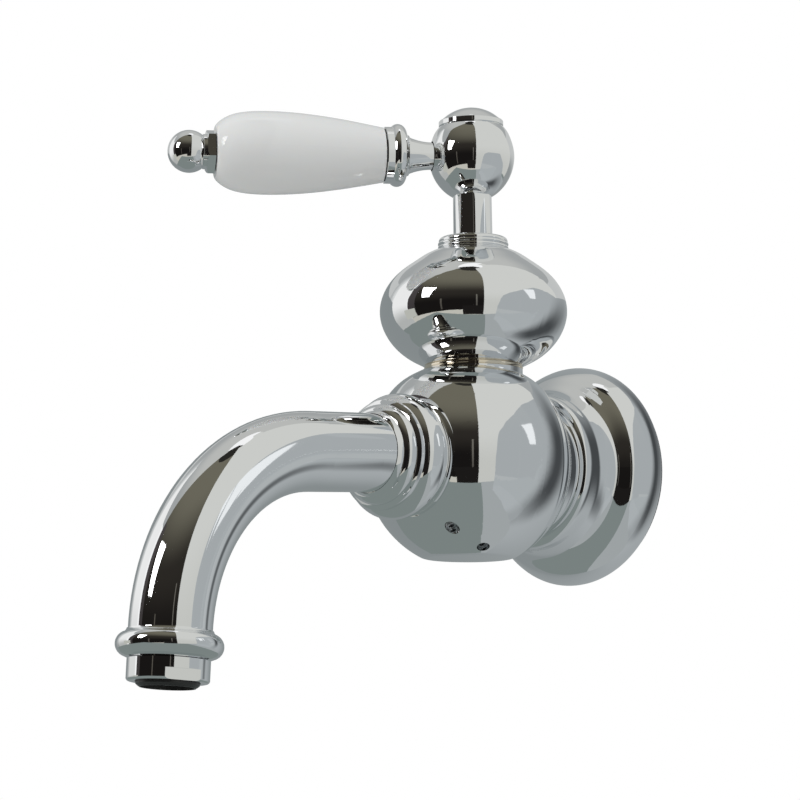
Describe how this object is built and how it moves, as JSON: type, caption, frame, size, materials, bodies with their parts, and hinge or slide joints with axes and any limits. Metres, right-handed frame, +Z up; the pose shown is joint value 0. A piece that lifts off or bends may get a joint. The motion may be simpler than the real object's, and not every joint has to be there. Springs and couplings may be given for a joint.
{
  "type": "wall-mounted basin mixer",
  "caption": "Wall-mounted basin mixer: round chrome body on a dished wall plate, bent spout with aerator, onion dome over the cartridge, single lever with a porcelain grip.",
  "frame": {"origin": "centre of the wall plate's back face, on the wall", "axes": "+Z up, +Y into the wall, so the tap stands out along -Y; +X to the right of someone facing the tap"},
  "size_m": [0.0967, 0.1972, 0.1883],
  "materials": {
    "chrome_plate": "polished plating",
    "porcelain_glaze": "glossy white glaze",
    "brass_metal": "machined",
    "steel_metal": "machined stainless",
    "black_rubber": "matt",
    "black_plastic": "satin moulded",
    "grey_plastic": "moulded acetal",
    "alumina": "lapped"
  },
  "bodies": {
    "tap_body": {"wall_gasket": "black_rubber", "wall_plate": "chrome_plate", "supply_shank": "brass_metal", "shank_o_ring": "black_rubber", "shank_port_seals": "black_rubber", "body_casting": "chrome_plate", "spout_grub_screws": "steel_metal", "spout_collar": "chrome_plate", "spout_tube": "chrome_plate", "spout_o_rings": "black_rubber", "spout_nozzle": "chrome_plate", "aerator_housing": "chrome_plate", "aerator_insert": "black_plastic", "aerator_screen": "steel_metal", "aerator_washer": "black_rubber", "waist_ring": "brass_metal", "dome_cover": "chrome_plate", "valve_housing": "brass_metal", "valve_o_ring": "black_rubber", "cartridge_base": "grey_plastic", "cartridge_seals": "black_rubber", "fixed_disc": "alumina", "cartridge_shell": "grey_plastic", "cartridge_nut": "brass_metal", "dome_collar": "chrome_plate"},
    "cartridge_turn": {"cartridge_rotor": "grey_plastic", "pivot_pin": "steel_metal"},
    "disc_slider": {"disc_carrier": "grey_plastic", "moving_disc": "alumina"},
    "lever": {"spindle": "steel_metal", "stem_sleeve": "chrome_plate", "handle_ball": "chrome_plate", "ball_cap": "chrome_plate", "clamp_screw": "steel_metal", "arm_seat_ring": "chrome_plate", "lever_arm": "chrome_plate", "grip_collar": "chrome_plate", "grip_washers": "black_rubber", "porcelain_grip": "porcelain_glaze", "tie_rod": "steel_metal", "hex_nut": "chrome_plate", "ball_finial": "chrome_plate"}
  },
  "joints": [
    {"name": "temperature_turn", "type": "hinge", "parent": "tap_body", "child": "cartridge_turn", "pos_m": [0, -0.0527, 0.06735], "axis": [0, 0, 1], "range_deg": [-12.5, 87.5]},
    {"name": "flow_tilt", "type": "hinge", "parent": "cartridge_turn", "child": "lever", "pos_m": [0, -0.0527, 0.06735], "axis": [-0.7934, 0.6088, 0], "range_deg": [0, 12]},
    {"name": "disc_slide", "type": "slide", "parent": "cartridge_turn", "child": "disc_slider", "axis": [-0.6088, -0.7934, 0], "range_m": [0, 0.0035]}
  ],
  "couplings": [
    {"joint": "disc_slide", "follows": "flow_tilt", "m_per_rad": 0.016254}
  ]
}
